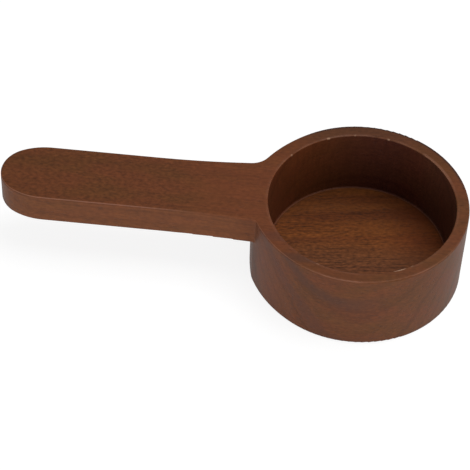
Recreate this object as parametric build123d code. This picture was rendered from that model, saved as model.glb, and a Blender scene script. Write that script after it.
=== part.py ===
from build123d import *
import math
import os

# A small wooden measuring scoop, in millimetres: a round cup with a flat floor and a flat handle.
# The cup's wall and the handle are one board. The floor is a separate disc, let in from below.
# Z is up, the origin is the centre of the cup's underside, and the handle runs towards -X.

# Cup
cup_radius = 26.0
cup_height = 22.3
foot_draw_in = 0.12

# The cup isn't quite round beside the handle. From this angle off the handle, a wider arc leads in
# on each side, and a flatter one that bulges a little closes the back, under the handle.
swell_angle = 57.0
far_swell_excess = 8.0
near_swell_excess = 4.0
back_bulge = 0.8
back_width_share = 0.95
root_width_share = 0.6
back_fillet = 6.0

# Hollow. It narrows towards the floor, and its mouth sits a little off the cup's centre.
rim_width = 3.2
bore_narrowing = 0.5
mouth_shift_x = 0.1
mouth_shift_y = -0.3
cove_radius = 0.2
lip_height = 0.1

# Handle
handle_reach = 88.05
handle_width = 17.34
handle_thickness = 8.0
end_length = 11.1
tip_radius_share = 0.905
flare_length = 24.0
far_flare_radius = 235.0
near_flare_radius = 320.0
far_root_fillet = 5.0
near_root_fillet = 0.8

# Floor disc, and the rebate that it sits in
floor_thickness = 4.0
shoulder_width = 1.6
glue_gap = 0.05

# Edges eased by sanding
rim_ease = 0.3
edge_ease = 0.45
base_ease = 0.5
joint_ease = 0.2

# How far a cut runs past what it cuts
overrun = 5.0

half_width = handle_width / 2
bore_radius = cup_radius - rim_width
foot_radius = bore_radius - bore_narrowing
lip_radius = foot_radius - cove_radius
rebate_radius = foot_radius + shoulder_width
handle_underside = cup_height - handle_thickness


def swell(excess, side, back_y):
    """The lead-in arc beside the handle, on side 1 (far) or -1 (near), up to back_y off the middle."""
    radius = cup_radius + excess
    centre_x = excess * math.cos(math.radians(swell_angle))
    centre_y = excess * math.sin(math.radians(swell_angle))
    back_angle = math.degrees(math.asin((centre_y + back_y) / radius))
    start = side * (180 - swell_angle)
    sweep = side * (swell_angle - back_angle)
    return CenterArc((centre_x, -side * centre_y), radius, start, sweep)


def cup_sides(back_y):
    """The cup seen from above: its round side, the lead-in arcs and a back with plain corners."""
    start = 180 - swell_angle
    round_side = CenterArc((0, 0), cup_radius, -start, 2 * start)
    far_side = swell(far_swell_excess, 1, back_y)
    near_side = swell(near_swell_excess, -1, back_y)
    back_middle = (far_side @ 1 + near_side @ 1) / 2 - Vector(back_bulge, 0)
    back = ThreePointArc(far_side @ 1, back_middle, near_side @ 1)
    return make_face([round_side, far_side, back, near_side])


def cup_outline():
    """The cup seen from above, with its back's corners rounded."""
    sides = cup_sides(half_width * back_width_share)
    return fillet(sides.vertices().sort_by(Axis.X)[:2], back_fillet)


def handle_outline():
    """The handle seen from above: a three-arc end, straight sides, and a slow flare into the cup."""
    tip_radius = tip_radius_share * half_width
    side_x = end_length - handle_reach
    tip_x = tip_radius - handle_reach
    # The shoulder arcs touch the straight sides and the tip's arc.
    rise = end_length**2 - 2 * end_length * tip_radius + half_width**2
    shoulder_radius = rise / (2 * (half_width - tip_radius))
    shoulder_y = half_width - shoulder_radius
    turn = math.degrees(math.atan2(-shoulder_y, side_x - tip_x))
    tip = CenterArc((tip_x, 0), tip_radius, 180 - turn, 2 * turn)
    far_shoulder = CenterArc((side_x, shoulder_y), shoulder_radius, 90, 90 - turn)
    near_shoulder = CenterArc((side_x, -shoulder_y), shoulder_radius, -90, turn - 90)
    flare_x = -cup_radius - flare_length
    reach = -bore_radius - flare_x
    far_angle = math.degrees(math.asin(reach / far_flare_radius))
    near_angle = math.degrees(math.asin(reach / near_flare_radius))
    far_flare = CenterArc((flare_x, half_width + far_flare_radius), far_flare_radius, -90, far_angle)
    near_flare = CenterArc((flare_x, -half_width - near_flare_radius), near_flare_radius, 90, -near_angle)
    far_side = Line((side_x, half_width), (flare_x, half_width))
    near_side = Line((side_x, -half_width), (flare_x, -half_width))
    inside = Line(far_flare @ 1, near_flare @ 1)
    far_edges = [far_shoulder, far_side, far_flare]
    near_edges = [near_shoulder, near_side, near_flare]
    return make_face([tip, inside, *far_edges, *near_edges])


def root_corner(outline, side):
    """The corner where the handle's side meets the cup, on side 1 (far) or -1 (near)."""
    corners = [corner for corner in outline.vertices() if side * corner.Y > 0]
    return min(corners, key=lambda corner: abs(corner.X + cup_radius))


def root_webs():
    """What the fillets in the two root corners add to the outline, seen from above."""
    # The lead-in arcs are carried on inside the handle, so that the roots are plain crossings.
    outline = cup_sides(half_width * root_width_share) + handle_outline()
    outline = fillet(root_corner(outline, 1), far_root_fillet)
    outline = fillet(root_corner(outline, -1), near_root_fillet)
    return outline - cup_outline() - handle_outline()


def bore():
    """The cup's round hollow above the floor's lip, from its foot to past the mouth."""
    foot_z = floor_thickness + lip_height + cove_radius
    mouth_z = cup_height + overrun
    reach = (mouth_z - foot_z) / (cup_height - foot_z)
    mouth_radius = foot_radius + bore_narrowing * reach
    foot = Pos(0, 0, foot_z) * Circle(foot_radius)
    mouth = Pos(mouth_shift_x * reach, mouth_shift_y * reach, mouth_z) * Circle(mouth_radius)
    return loft([foot, mouth])


def foot_cut():
    """The rebate from below, the lip over the disc's edge, and the cove at the foot of the wall."""
    lip_z = floor_thickness + lip_height
    cove_z = lip_z + cove_radius
    corners = [
        (foot_radius, cove_z),
        (0, cove_z),
        (0, -overrun),
        (rebate_radius, -overrun),
        (rebate_radius, floor_thickness),
        (lip_radius, floor_thickness),
        (lip_radius, lip_z),
    ]
    sides = Polyline(*corners)
    cove = CenterArc((lip_radius, cove_z), cove_radius, -90, 90)
    profile = Plane.XZ * make_face([sides, cove])
    return revolve(profile, Axis.Z)


def handle():
    """The handle, with its underside's edges eased. It reaches a little way into the cup's wall."""
    board = extrude(Pos(0, 0, handle_underside) * handle_outline(), handle_thickness)
    underside = board.faces().sort_by(Axis.Z)[0]
    outer_edges = underside.edges().sort_by(Axis.X)[:-1]
    return fillet(outer_edges, edge_ease)


def cup():
    """The cup before it is hollowed. Below the handle its wall draws in a little towards the foot."""
    outline = cup_outline()
    foot = scale(outline, (cup_radius - foot_draw_in) / cup_radius)
    lower = loft([foot, Pos(0, 0, handle_underside) * outline], ruled=True)
    underside = lower.faces().sort_by(Axis.Z)[0]
    lower = fillet(underside.edges(), base_ease)
    return lower + extrude(Pos(0, 0, handle_underside) * outline, handle_thickness)


def scoop_body():
    """Cup wall and handle, cut from one board, eased along the edges and hollowed."""
    webs_foot = handle_underside + edge_ease
    webs = extrude(Pos(0, 0, webs_foot) * root_webs(), cup_height - webs_foot)
    board = cup() + handle() + webs
    top = board.faces().sort_by(Axis.Z)[-1]
    board = fillet(top.edges(), edge_ease)
    body = board - (bore() + foot_cut())
    rim = body.faces().sort_by(Axis.Z)[-1].inner_wires()[0]
    body = fillet(rim.edges(), rim_ease)
    rebate = body.faces().sort_by(Axis.Z)[0].inner_wires()[0]
    return fillet(rebate.edges(), joint_ease)


def floor_disc():
    """The cup's floor: a plain disc that seats on the rebate's shoulder and fills it to the base."""
    disc = extrude(Circle(rebate_radius - glue_gap), floor_thickness)
    underside = disc.faces().sort_by(Axis.Z)[0]
    return fillet(underside.edges(), joint_ease)


os.makedirs("parts", exist_ok=True)
export_step(scoop_body(), "parts/scoop_body.step")
export_step(floor_disc(), "parts/floor_disc.step")

# What the hollow holds, level with its rim
cubic_millimetres_per_millilitre = 1000
depth = cup_height - floor_thickness
volume = math.pi * depth * (bore_radius**2 + bore_radius * foot_radius + foot_radius**2) / 3
print(f"hollow: {volume / cubic_millimetres_per_millilitre:.1f} ml")
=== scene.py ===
import math

import bpy
from mathutils import Matrix, Vector


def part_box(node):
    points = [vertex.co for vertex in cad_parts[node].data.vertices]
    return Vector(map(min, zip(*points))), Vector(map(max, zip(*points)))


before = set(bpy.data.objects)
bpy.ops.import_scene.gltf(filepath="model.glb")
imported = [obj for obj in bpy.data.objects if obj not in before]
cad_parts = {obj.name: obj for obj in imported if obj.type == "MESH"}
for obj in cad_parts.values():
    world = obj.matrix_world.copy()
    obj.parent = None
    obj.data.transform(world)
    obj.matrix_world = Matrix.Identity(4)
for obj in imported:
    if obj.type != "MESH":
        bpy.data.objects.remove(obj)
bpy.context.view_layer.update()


# The board. Cup wall and handle are one piece of dark stained hardwood, its grain along the handle,
# turned and cut to shape, sanded, with every edge eased by hand and left with a soft satin of oil.
# The stain lies darkest inside the bore, deepened there by painted shade, and the rim's edges are
# rubbed pale with use and lit with painted highlights.

millimetres_per_metre = 1000


class Value:
    """What a node gives, such as a number over a surface. Sums and products add Math nodes."""

    def __init__(self, finish, socket):
        self.finish = finish
        self.socket = socket

    def maths(self, operation, first, second):
        return self.finish.node("Math", {"operation": operation}, {0: first, 1: second})

    def __add__(self, other):
        return self.maths("ADD", self, other)

    def __sub__(self, other):
        return self.maths("SUBTRACT", self, other)

    def __rsub__(self, other):
        return self.maths("SUBTRACT", other, self)

    def __mul__(self, other):
        return self.maths("MULTIPLY", self, other)

    __radd__ = __add__
    __rmul__ = __mul__


class Finish:
    """A material round one Principled shader, with this level of gloss."""

    def __init__(self, name, specular_level):
        self.material = bpy.data.materials.new(name)
        self.material.use_nodes = True
        self.tree = self.material.node_tree
        self.shader = self.tree.nodes["Principled BSDF"]
        self.feed(self.shader, {"Specular IOR Level": specular_level})

    def node(self, kind, settings, inputs, output=0):
        made = self.tree.nodes.new("ShaderNode" + kind)
        for setting, choice in settings.items():
            setattr(made, setting, choice)
        self.feed(made, inputs)
        return Value(self, made.outputs[output])

    def feed(self, node, inputs):
        """Each named socket of the node gets a plain value, or a link from another node."""
        for name, value in inputs.items():
            if isinstance(value, Value):
                self.tree.links.new(value.socket, node.inputs[name])
            else:
                node.inputs[name].default_value = value


class Wood(Finish):
    """Wood with its grain along X, or turned off it by some degrees. Sizes are in millimetres."""

    def __init__(self, name, specular_level, grain_turn=0.0):
        super().__init__(name, specular_level)
        metres = self.node("TexCoord", {}, {}, "Object")
        scaled = {0: metres, "Scale": millimetres_per_metre}
        self.point = self.node("VectorMath", {"operation": "SCALE"}, scaled)
        turned = {"Vector": self.point, "Angle": -math.radians(grain_turn)}
        self.grain = self.node("VectorRotate", {"rotation_type": "Z_AXIS"}, turned)

    def axis(self, letter):
        return self.node("SeparateXYZ", {}, {0: self.point}, letter)

    def radius(self, middle=(0, 0)):
        """The distance from the cup's axis, or from an upright line through another middle."""
        moved = self.node("VectorMath", {"operation": "SUBTRACT"}, {0: self.point, 1: (*middle, 0)})
        flat = self.node("VectorMath", {"operation": "MULTIPLY"}, {0: moved, 1: (1, 1, 0)})
        return self.node("VectorMath", {"operation": "LENGTH"}, {0: flat}, "Value")

    def rise(self, value, low, high):
        """0 below low, 1 above high, and a smooth step between them."""
        settings = {"interpolation_type": "SMOOTHSTEP"}
        return self.node("MapRange", settings, {0: value, 1: low, 2: high, 3: 0.0, 4: 1.0})

    def band(self, value, low, high, soft):
        """1 between low and high, fading out over soft on both sides."""
        return self.rise(value, low - soft, low) * (1 - self.rise(value, high, high + soft))

    def along_grain(self, length, width, shift=0.0):
        """The point, squeezed so that a pattern of unit size is this long and wide in the wood."""
        inputs = {0: self.grain, 1: (shift, shift, shift)}
        moved = self.node("VectorMath", {"operation": "ADD"}, inputs)
        squeeze = (1 / length, 1 / width, 1 / width)
        return self.node("VectorMath", {"operation": "MULTIPLY"}, {0: moved, 1: squeeze})

    def cloud(self, length, width, shift=0.0, detail=2.0, distortion=0.0):
        """Soft noise from 0 to 1, stretched along the grain."""
        inputs = {"Vector": self.along_grain(length, width, shift), "Scale": 1.0}
        return self.node("TexNoise", {}, {**inputs, "Detail": detail, "Distortion": distortion})

    def scrapes(self, width, height):
        """Soft upright marks from 0 to 1, as a turning tool or a sanding drum leaves them."""
        squeeze = (1 / width, 1 / width, 1 / height)
        inputs = {0: self.point, 1: squeeze}
        upright = self.node("VectorMath", {"operation": "MULTIPLY"}, inputs)
        return self.node("TexNoise", {}, {"Vector": upright, "Scale": 1.0, "Detail": 3.0})

    def pores(self, length, width, share, shift=0.0):
        """Short tubes along the grain, which show as dashes on a face and as dots on end grain."""
        inputs = {"Vector": self.along_grain(length, width, shift), "Scale": 1.0}
        distance = self.node("TexVoronoi", {}, inputs, "Distance")
        return 1 - self.rise(distance, share * 0.6, share)

    def growth(self, pith_y, pith_z, wobble):
        """The distance from the tree's middle, a line along the grain: layers of wood follow it."""
        across = self.node("VectorMath", {"operation": "MULTIPLY"}, {0: self.point, 1: (0, 1, 1)})
        inputs = {0: across, 1: (0, pith_y, pith_z)}
        out = self.node("VectorMath", {"operation": "SUBTRACT"}, inputs)
        distance = self.node("VectorMath", {"operation": "LENGTH"}, {0: out}, "Value")
        return distance + (self.cloud(length=34, width=12, shift=53) - 0.5) * wobble

    def layers(self, growth, width):
        """Soft noise from 0 to 1 that changes only from layer to layer."""
        inputs = {"W": growth * (1 / width), "Scale": 1.0, "Detail": 2.0}
        return self.node("TexNoise", {"noise_dimensions": "1D"}, inputs)

    def spot(self, place, reach):
        """1 at a place on the surface, fading out at this reach."""
        inputs = {0: self.point, 1: place}
        distance = self.node("VectorMath", {"operation": "DISTANCE"}, inputs, "Value")
        return 1 - self.rise(distance, reach * 0.4, reach)

    def shade(self, colour, factor):
        """A colour made lighter or darker by this factor."""
        return self.node("VectorMath", {"operation": "SCALE"}, {0: colour, "Scale": factor})

    def blend(self, amount, first, second):
        """Colour first, going over to colour second."""
        return self.node("Mix", {"data_type": "RGBA"}, {0: amount, 6: first, 7: second}, 2)

    def finish_with(self, colour, roughness, height, depth):
        """Colour, roughness, and a relief of that depth, all over the surface."""
        relief = {"Height": height, "Distance": depth / millimetres_per_metre, "Strength": 1.0}
        normal = self.node("Bump", {}, relief)
        self.feed(self.shader, {"Base Color": colour, "Roughness": roughness, "Normal": normal})


def dress(node, finish):
    """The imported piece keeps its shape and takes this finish."""
    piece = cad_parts[node]
    for place in piece.material_slots:
        place.material = finish.material


def paint(red, green, blue):
    """A colour as a paint chart gives it, from 0 to 255, as the light that it reflects."""
    shares = [part / 255 for part in (red, green, blue)]
    linear = [s / 12.92 if s <= 0.04045 else ((s + 0.055) / 1.055) ** 2.4 for s in shares]
    return (*linear, 1.0)


def stained_board():
    highest_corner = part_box("scoop_body")[1] * millimetres_per_metre
    board_top = highest_corner.z
    handle_thickness = 8.0
    handle_underside = board_top - handle_thickness
    rim_radius = highest_corner.y
    rim_width = 3.2
    bore_radius = rim_radius - rim_width
    mouth_middle = (0.1, -0.3)
    edge_ease = 0.45
    pith_y, pith_z = 25, -12
    relief_depth = 0.04

    plain_brown, warm_brown = paint(94, 54, 25), paint(99, 53, 27)
    root_brown, lit_flank_brown = paint(114, 58, 31), paint(124, 74, 42)
    shaded_far_rim_brown, streak_brown = paint(62, 40, 26), paint(68, 44, 38)
    bore_red, bore_black, bore_grey = paint(76, 33, 14), paint(52, 10, 22), paint(70, 43, 40)
    shaded_far_edge_brown = paint(46, 30, 29)
    rubbed_and_highlit_wood, bare_wood = paint(150, 107, 88), paint(184, 148, 120)

    wood = Wood("stained_board", specular_level=0.17)
    along, across, height = wood.axis("X"), wood.axis("Y"), wood.axis("Z")
    radius, from_mouth = wood.radius(), wood.radius(mouth_middle)
    on_top = wood.rise(height, board_top - 0.4, board_top - 0.1)

    growth = wood.growth(pith_y, pith_z, wobble=3.0)
    figure = wood.rise(wood.layers(growth, width=2.6), 0.45, 0.75)
    mottle = wood.cloud(length=1.1, width=0.7, shift=7, detail=5.0)
    fibres = wood.cloud(length=6, width=0.4, shift=19, detail=3.0)
    crowd = wood.rise(wood.cloud(length=8, width=2.2, shift=17), 0.4, 0.62)
    pores = wood.pores(length=2.2, width=0.6, share=0.3, shift=3) * crowd

    # Two close browns in patches. It is redder round the root of the handle. The handle's sides and
    # underside are made lighter with painted light, and the far rim darker with painted shade.
    patches = wood.rise(wood.cloud(length=14, width=5.0, shift=31), 0.3, 0.7)
    root = wood.band(along, -36, -20, soft=10)
    below_top = 1 - wood.rise(height, board_top - 0.6, board_top - 0.3)
    flank = (1 - wood.rise(along, -32, -24)) * below_top
    far_rim = wood.rise(across, 16, 24)
    brown = wood.blend(patches, plain_brown, warm_brown)
    brown = wood.blend(root * 0.35, brown, root_brown)
    brown = wood.blend(flank * 0.3, brown, lit_flank_brown)
    # Painted shade on the far rim.
    brown = wood.blend(far_rim * 0.45, brown, shaded_far_rim_brown)

    # The grain in it: mottling, strongest on the handle's top, fibres, layers of growth and pores.
    towards_cup = wood.rise(along, -50, -32)
    light = 1 + (mottle - 0.5) * (0.85 + on_top * (0.6 - towards_cup * 0.7))
    light = light * (0.75 + fibres * 0.5)
    light = light * (1 - figure * (0.22 - on_top * 0.14)) * (1 - pores * 0.18)

    # Painted shade darkens it close to the ground, and a painted shadow of the handle darkens the
    # back of the cup below it.
    off_ground = wood.rise(height, 0.2, 0.9)
    below_handle = 1 - wood.rise(height, handle_underside - 1.3, handle_underside)
    handle_shadow = wood.band(along, -29, -24.5, soft=1) * below_handle
    light = light * (0.75 + off_ground * 0.25) * (1 - handle_shadow * 0.2)
    brown = wood.shade(brown, light)

    # Two dark streaks follow the growth down the front of the cup.
    outer_streak = wood.band(growth, 56.5, 57.3, soft=1.2)
    inner_streak = wood.band(growth, 51.2, 52.4, soft=0.9)
    streaks = outer_streak + inner_streak * 0.7
    streaks = streaks * (1 - wood.rise(along, -4, 12)) * wood.rise(along, -30, -20)
    brown = wood.blend(streaks * 0.45, brown, streak_brown)

    # Inside the bore the stain has soaked in, deepened by painted shade in the hollow: red towards
    # the handle, blacker past the middle, and greyer at the far end.
    inside = 1 - wood.rise(from_mouth, bore_radius + 0.35, bore_radius + 0.5)
    inside = inside * (1 - wood.rise(height, board_top - 0.3, board_top - 0.14))
    stain_and_shade = wood.blend(wood.rise(along, -14, 8), bore_red, bore_black)
    stain_and_shade = wood.blend(wood.rise(along, 10, 20), stain_and_shade, bore_grey)
    scrapes = wood.scrapes(width=0.9, height=7) - 0.5
    brown = wood.blend(inside * 0.5, brown, stain_and_shade)
    brown = wood.shade(brown, 1 + scrapes * inside * 0.5)

    # Painted shade darkens the rim's outer edge on the far side.
    far_side = wood.rise(across, 4, 12)
    off_root = wood.rise(along, -17, -10)
    at_cup = 1 - wood.rise(radius, rim_radius + 0.5, rim_radius + 1.5)
    outermost = wood.rise(radius, rim_radius - 0.9, rim_radius - 0.6) * at_cup * on_top
    brown = wood.blend(far_side * off_root * outermost * 0.6, brown, shaded_far_edge_brown)

    # The eased edges are rubbed pale, partly with use and partly with painted highlights: the
    # handle's most of all towards its end, the rim's unevenly on the near side, and the bore's with
    # a painted reflection at the far right.
    at_bore = 1 - wood.rise(from_mouth, bore_radius + 0.6, bore_radius + 0.9)
    off_cup = wood.rise(radius, rim_radius + 3, rim_radius + 6)
    edge_foot = board_top - edge_ease * 0.45 + at_bore * 0.08
    edge_head = board_top - 0.08 + at_bore * 0.06
    eased = wood.band(height, edge_foot, edge_head, soft=0.04)
    uneven = wood.rise(wood.cloud(length=5, width=5, shift=11), 0.35, 0.65)
    near_side = 1 - wood.rise(across, -12, -6)
    near_root = wood.band(along, -26, -15, soft=4)
    far_right_reflection = wood.band(along, 15, 20.5, soft=1.5) * wood.rise(across, 7, 10)
    on_handle = (0.05 + (1 - wood.rise(along, -58, -34)) * 0.4) * off_cup
    on_rim = 0.06 + near_side * (0.08 + uneven * 0.2 + near_root * 0.1)
    on_rim = on_rim * (1 - at_bore) * at_cup
    on_bore = at_bore * (uneven * 0.16 + far_right_reflection * 0.4)
    brown = wood.blend(eased * (on_handle + on_rim + on_bore), brown, rubbed_and_highlit_wood)

    # Small chips in the rim's inner edge show bare wood. Each has an angle round the mouth, in
    # degrees, and a reach. The smaller ones are fainter.
    rim_chips = (
        (115, 0.55), (98, 0.32), (77, 0.45), (143, 0.42),
        (-113.5, 0.5), (-65, 1.4), (-62.5, 1.2), (-56, 0.5),
    )
    chip_circle, chip_height = bore_radius + 0.1, board_top - 0.1
    chips = 0.0
    for turn, reach in rim_chips:
        angle = math.radians(turn)
        out = chip_circle * Vector((math.cos(angle), math.sin(angle)))
        place = (*(out + Vector(mouth_middle)), chip_height)
        chips = wood.spot(place, reach) * min(reach, 1) + chips
    on_edge = 1 - wood.rise(from_mouth, bore_radius + 0.2, bore_radius + 0.4)
    on_edge = on_edge * wood.rise(height, board_top - 0.5, board_top - 0.3)
    brown = wood.blend(chips * on_edge * 0.7, brown, bare_wood)

    roughness = 0.46 + mottle * 0.12
    relief = fibres * 0.4 - pores
    wood.finish_with(brown, roughness, relief, relief_depth)
    return wood


dress("scoop_body", stained_board())


# The floor. A disc of the same kind of wood, cut with its face showing open pores, is glued into a
# rebate from below. It took less stain than the wall, and a line of glue and dust, brightened by a
# painted highlight, shows round it.

def floor_wood():
    disc_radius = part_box("floor_disc")[1].x * millimetres_per_metre
    covered_edge = 1.75
    floor_radius = disc_radius - covered_edge
    grain_turn = 7.3
    relief_depth = 0.05

    light_brown, dark_brown = paint(112, 61, 23), paint(97, 49, 19)
    right_brown, near_brown = paint(104, 46, 18), paint(96, 58, 36)
    dust_brown, glue_and_highlight_brown = paint(48, 24, 12), paint(118, 78, 64)

    wood = Wood("floor_wood", specular_level=0.15, grain_turn=grain_turn)
    along, across, radius = wood.axis("X"), wood.axis("Y"), wood.radius()
    near = 1 - wood.rise(across, -4, 6)
    far = wood.rise(across, 5, 16)
    right = wood.rise(along, 4, 16)

    broad = wood.cloud(length=50, width=4.0, shift=5, distortion=0.4)
    mottle = wood.cloud(length=1.2, width=0.55, shift=29, detail=5.0)
    fibres = wood.cloud(length=8, width=0.35, shift=13, detail=3.0)
    crowd = wood.rise(wood.cloud(length=16, width=2.4, shift=23), 0.4, 0.65)
    pores = wood.pores(length=2.4, width=0.5, share=0.32, shift=9) * (0.35 + crowd * 0.65)
    streaky = wood.cloud(length=12, width=0.7, shift=37, detail=3.0)
    streaks = wood.rise(streaky, 0.5, 0.72) * crowd
    gathered = wood.rise(wood.cloud(length=9, width=4, shift=67), 0.4, 0.6)
    lines = wood.rise(wood.cloud(length=8, width=0.26, shift=43), 0.54, 0.68) * gathered

    # Two browns in broad bands. It is redder to the right, greyer in the near half, and darker at
    # the far side with painted shade beside the far wall. The grain stands out most in the near
    # half, and least to the right.
    brown = wood.blend(wood.rise(broad, 0.35, 0.7), light_brown, dark_brown)
    brown = wood.blend(right * (1 - near * 0.6) * 0.5, brown, right_brown)
    brown = wood.blend(near * 0.6, brown, near_brown)
    contrast = 1 - right * 0.45 - far * 0.25
    light = 1.04 + (mottle - 0.5) * (2.0 + near * 0.3) * contrast
    light = light * (1 + (fibres - 0.5) * (0.7 + near * 0.7) * contrast)
    light = light * (1 - pores * contrast * 0.5) * (1 - streaks * contrast * 0.35)
    light = light * (1 - lines * contrast * (0.5 + near * 0.2))
    # Painted shade on the far side of the floor.
    brown = wood.shade(brown, light * (1 - far * 0.3))

    # The line of dust beside the wall, and outside it the pale line of glue with a painted
    # highlight.
    dark_line = wood.band(radius, floor_radius - 0.45, floor_radius - 0.3, soft=0.15)
    pale_line = wood.rise(radius, floor_radius - 0.2, floor_radius - 0.05)
    brown = wood.blend(dark_line * 0.3, brown, dust_brown)
    brown = wood.blend(pale_line * 0.55, brown, glue_and_highlight_brown)

    roughness = 0.46 + mottle * 0.12
    relief = fibres * 0.4 - pores
    wood.finish_with(brown, roughness, relief, relief_depth)
    return wood


dress("floor_disc", floor_wood())


# The paper. The scoop stands on a large sheet of matt white paper, which keeps its shadow. The
# camera and reflections see it plain white, and it lights the scoop from below as paper does.

def grey(share):
    """A plain grey that gives back this share of the light."""
    return (share, share, share, 1.0)


def seen_directly(paper):
    """1 for what the camera, a reflection or clear matter shows, 0 for what lights the object."""
    seen = paper.node("LightPath", {}, {}, "Is Camera Ray")
    for ray in ("Is Glossy Ray", "Is Transmission Ray"):
        also_seen = paper.node("LightPath", {}, {}, ray)
        seen = paper.node("Math", {"operation": "MAXIMUM"}, {0: seen, 1: also_seen})
    return seen


def white_paper():
    """Plain paper for the light. What is seen mostly glows, and its small rest takes the shadow."""
    bounce = 0.86
    glow = 0.85
    shaded_share = 0.22

    paper = Finish("white_paper", specular_level=0.0)
    paper.feed(paper.shader, {"Base Color": grey(shaded_share), "Roughness": 1.0})
    paper.feed(paper.shader, {"Emission Color": grey(1.0), "Emission Strength": glow})
    glowing = Value(paper, paper.shader.outputs["BSDF"])
    plain = paper.node("BsdfDiffuse", {}, {"Color": grey(bounce)})
    surface = paper.node("MixShader", {}, {0: seen_directly(paper), 1: plain, 2: glowing})
    paper.feed(paper.tree.nodes["Material Output"], {"Surface": surface})
    return paper


def paper_sheet():
    sheet_size = 6.0
    gap = 0.00002

    bpy.ops.object.select_all(action="DESELECT")
    bpy.ops.mesh.primitive_plane_add(size=sheet_size, location=(0, 0, -gap))
    sheet = bpy.context.object
    sheet.name = "paper_sheet"
    sheet.data.materials.append(white_paper().material)


paper_sheet()


# The light. A large soft box hangs over the scoop and a low wide one stands in front of it, each
# aimed at the cup, and a dim room fills in the rest.

def room(colour, level):
    world = bpy.data.worlds.new("dim_room")
    bpy.context.scene.world = world
    world.use_nodes = True
    lighting = world.node_tree.nodes["Background"]
    lighting.inputs["Color"].default_value = colour
    lighting.inputs["Strength"].default_value = level


def soft_box(name, toward, distance, width, depth, level):
    """A soft box this far from the cup, which lights a white sheet facing it to this level."""
    lamp = bpy.data.lights.new(name, "AREA")
    lamp.shape = "RECTANGLE"
    lamp.size = width
    lamp.size_y = depth
    lamp.energy = level * (math.pi * distance) ** 2
    box = bpy.data.objects.new(name, lamp)
    bpy.context.scene.collection.objects.link(box)
    direction = Vector(toward).normalized()
    box.location = direction * distance
    box.rotation_euler = direction.to_track_quat("Z", "Y").to_euler()


room(colour=(0.95, 0.97, 1.0, 1), level=0.3)
soft_box("overhead_box", (0.3, 0.05, 0.95), distance=0.8, width=0.6, depth=0.6, level=0.75)
soft_box("front_box", (0.05, -0.98, 0.2), distance=0.8, width=0.9, depth=0.3, level=0.48)


# The camera. It stands where the photograph was taken from, in front of the scoop and well above
# it, with a long lens. It looks down steeply, turned a little to the left and rolled a little.

def camera():
    place = (-0.00505, -0.34523, 0.38508)
    turned_left = math.radians(4.1953)
    up_from_straight_down = math.radians(42.4048)
    rolled = math.radians(2.3074)
    sensor = 36.0
    focal_pixels = 2072.79
    frame_pixels = 470

    lens = bpy.data.cameras.new("camera")
    lens.sensor_width = sensor
    lens.lens = focal_pixels / frame_pixels * sensor
    lens.clip_start = 0.01
    eye = bpy.data.objects.new("camera", lens)
    bpy.context.scene.collection.objects.link(eye)
    turn = Matrix.Rotation(turned_left, 4, "Z")
    tilt = Matrix.Rotation(up_from_straight_down, 4, "X")
    roll = Matrix.Rotation(rolled, 4, "Z")
    eye.matrix_world = Matrix.Translation(place) @ turn @ tilt @ roll
    bpy.context.scene.camera = eye


camera()
bpy.context.scene.view_settings.view_transform = "Standard"
